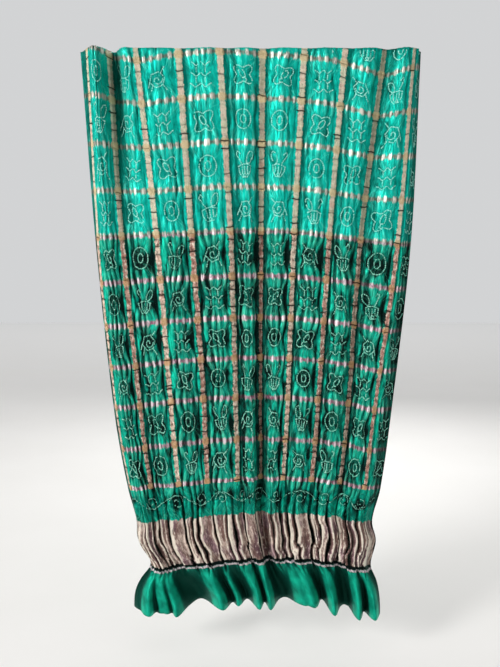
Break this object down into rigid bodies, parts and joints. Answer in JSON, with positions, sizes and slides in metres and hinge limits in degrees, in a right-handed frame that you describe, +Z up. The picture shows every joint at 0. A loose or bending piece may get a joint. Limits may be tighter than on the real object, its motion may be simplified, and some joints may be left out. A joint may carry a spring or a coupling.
{
  "type": "bandhani cloth",
  "caption": "Tie-dyed crinkled silk cloth with woven checks, a metallic tissue band and a flared plain end, hung by its top edge.",
  "frame": {"origin": "middle of the cloth's top edge, which is what it hangs from", "axes": "+Z up; the cloth faces -Y, +X is to the viewer's right, and it drops to -Z"},
  "size_m": [0.7089, 0.0668, 1.2079],
  "materials": {
    "dyed_silk": "crinkled satin silk, tie-dyed sea green over emerald"
  },
  "bodies": {
    "root": {"cloth": "dyed_silk"}
  },
  "joints": []
}
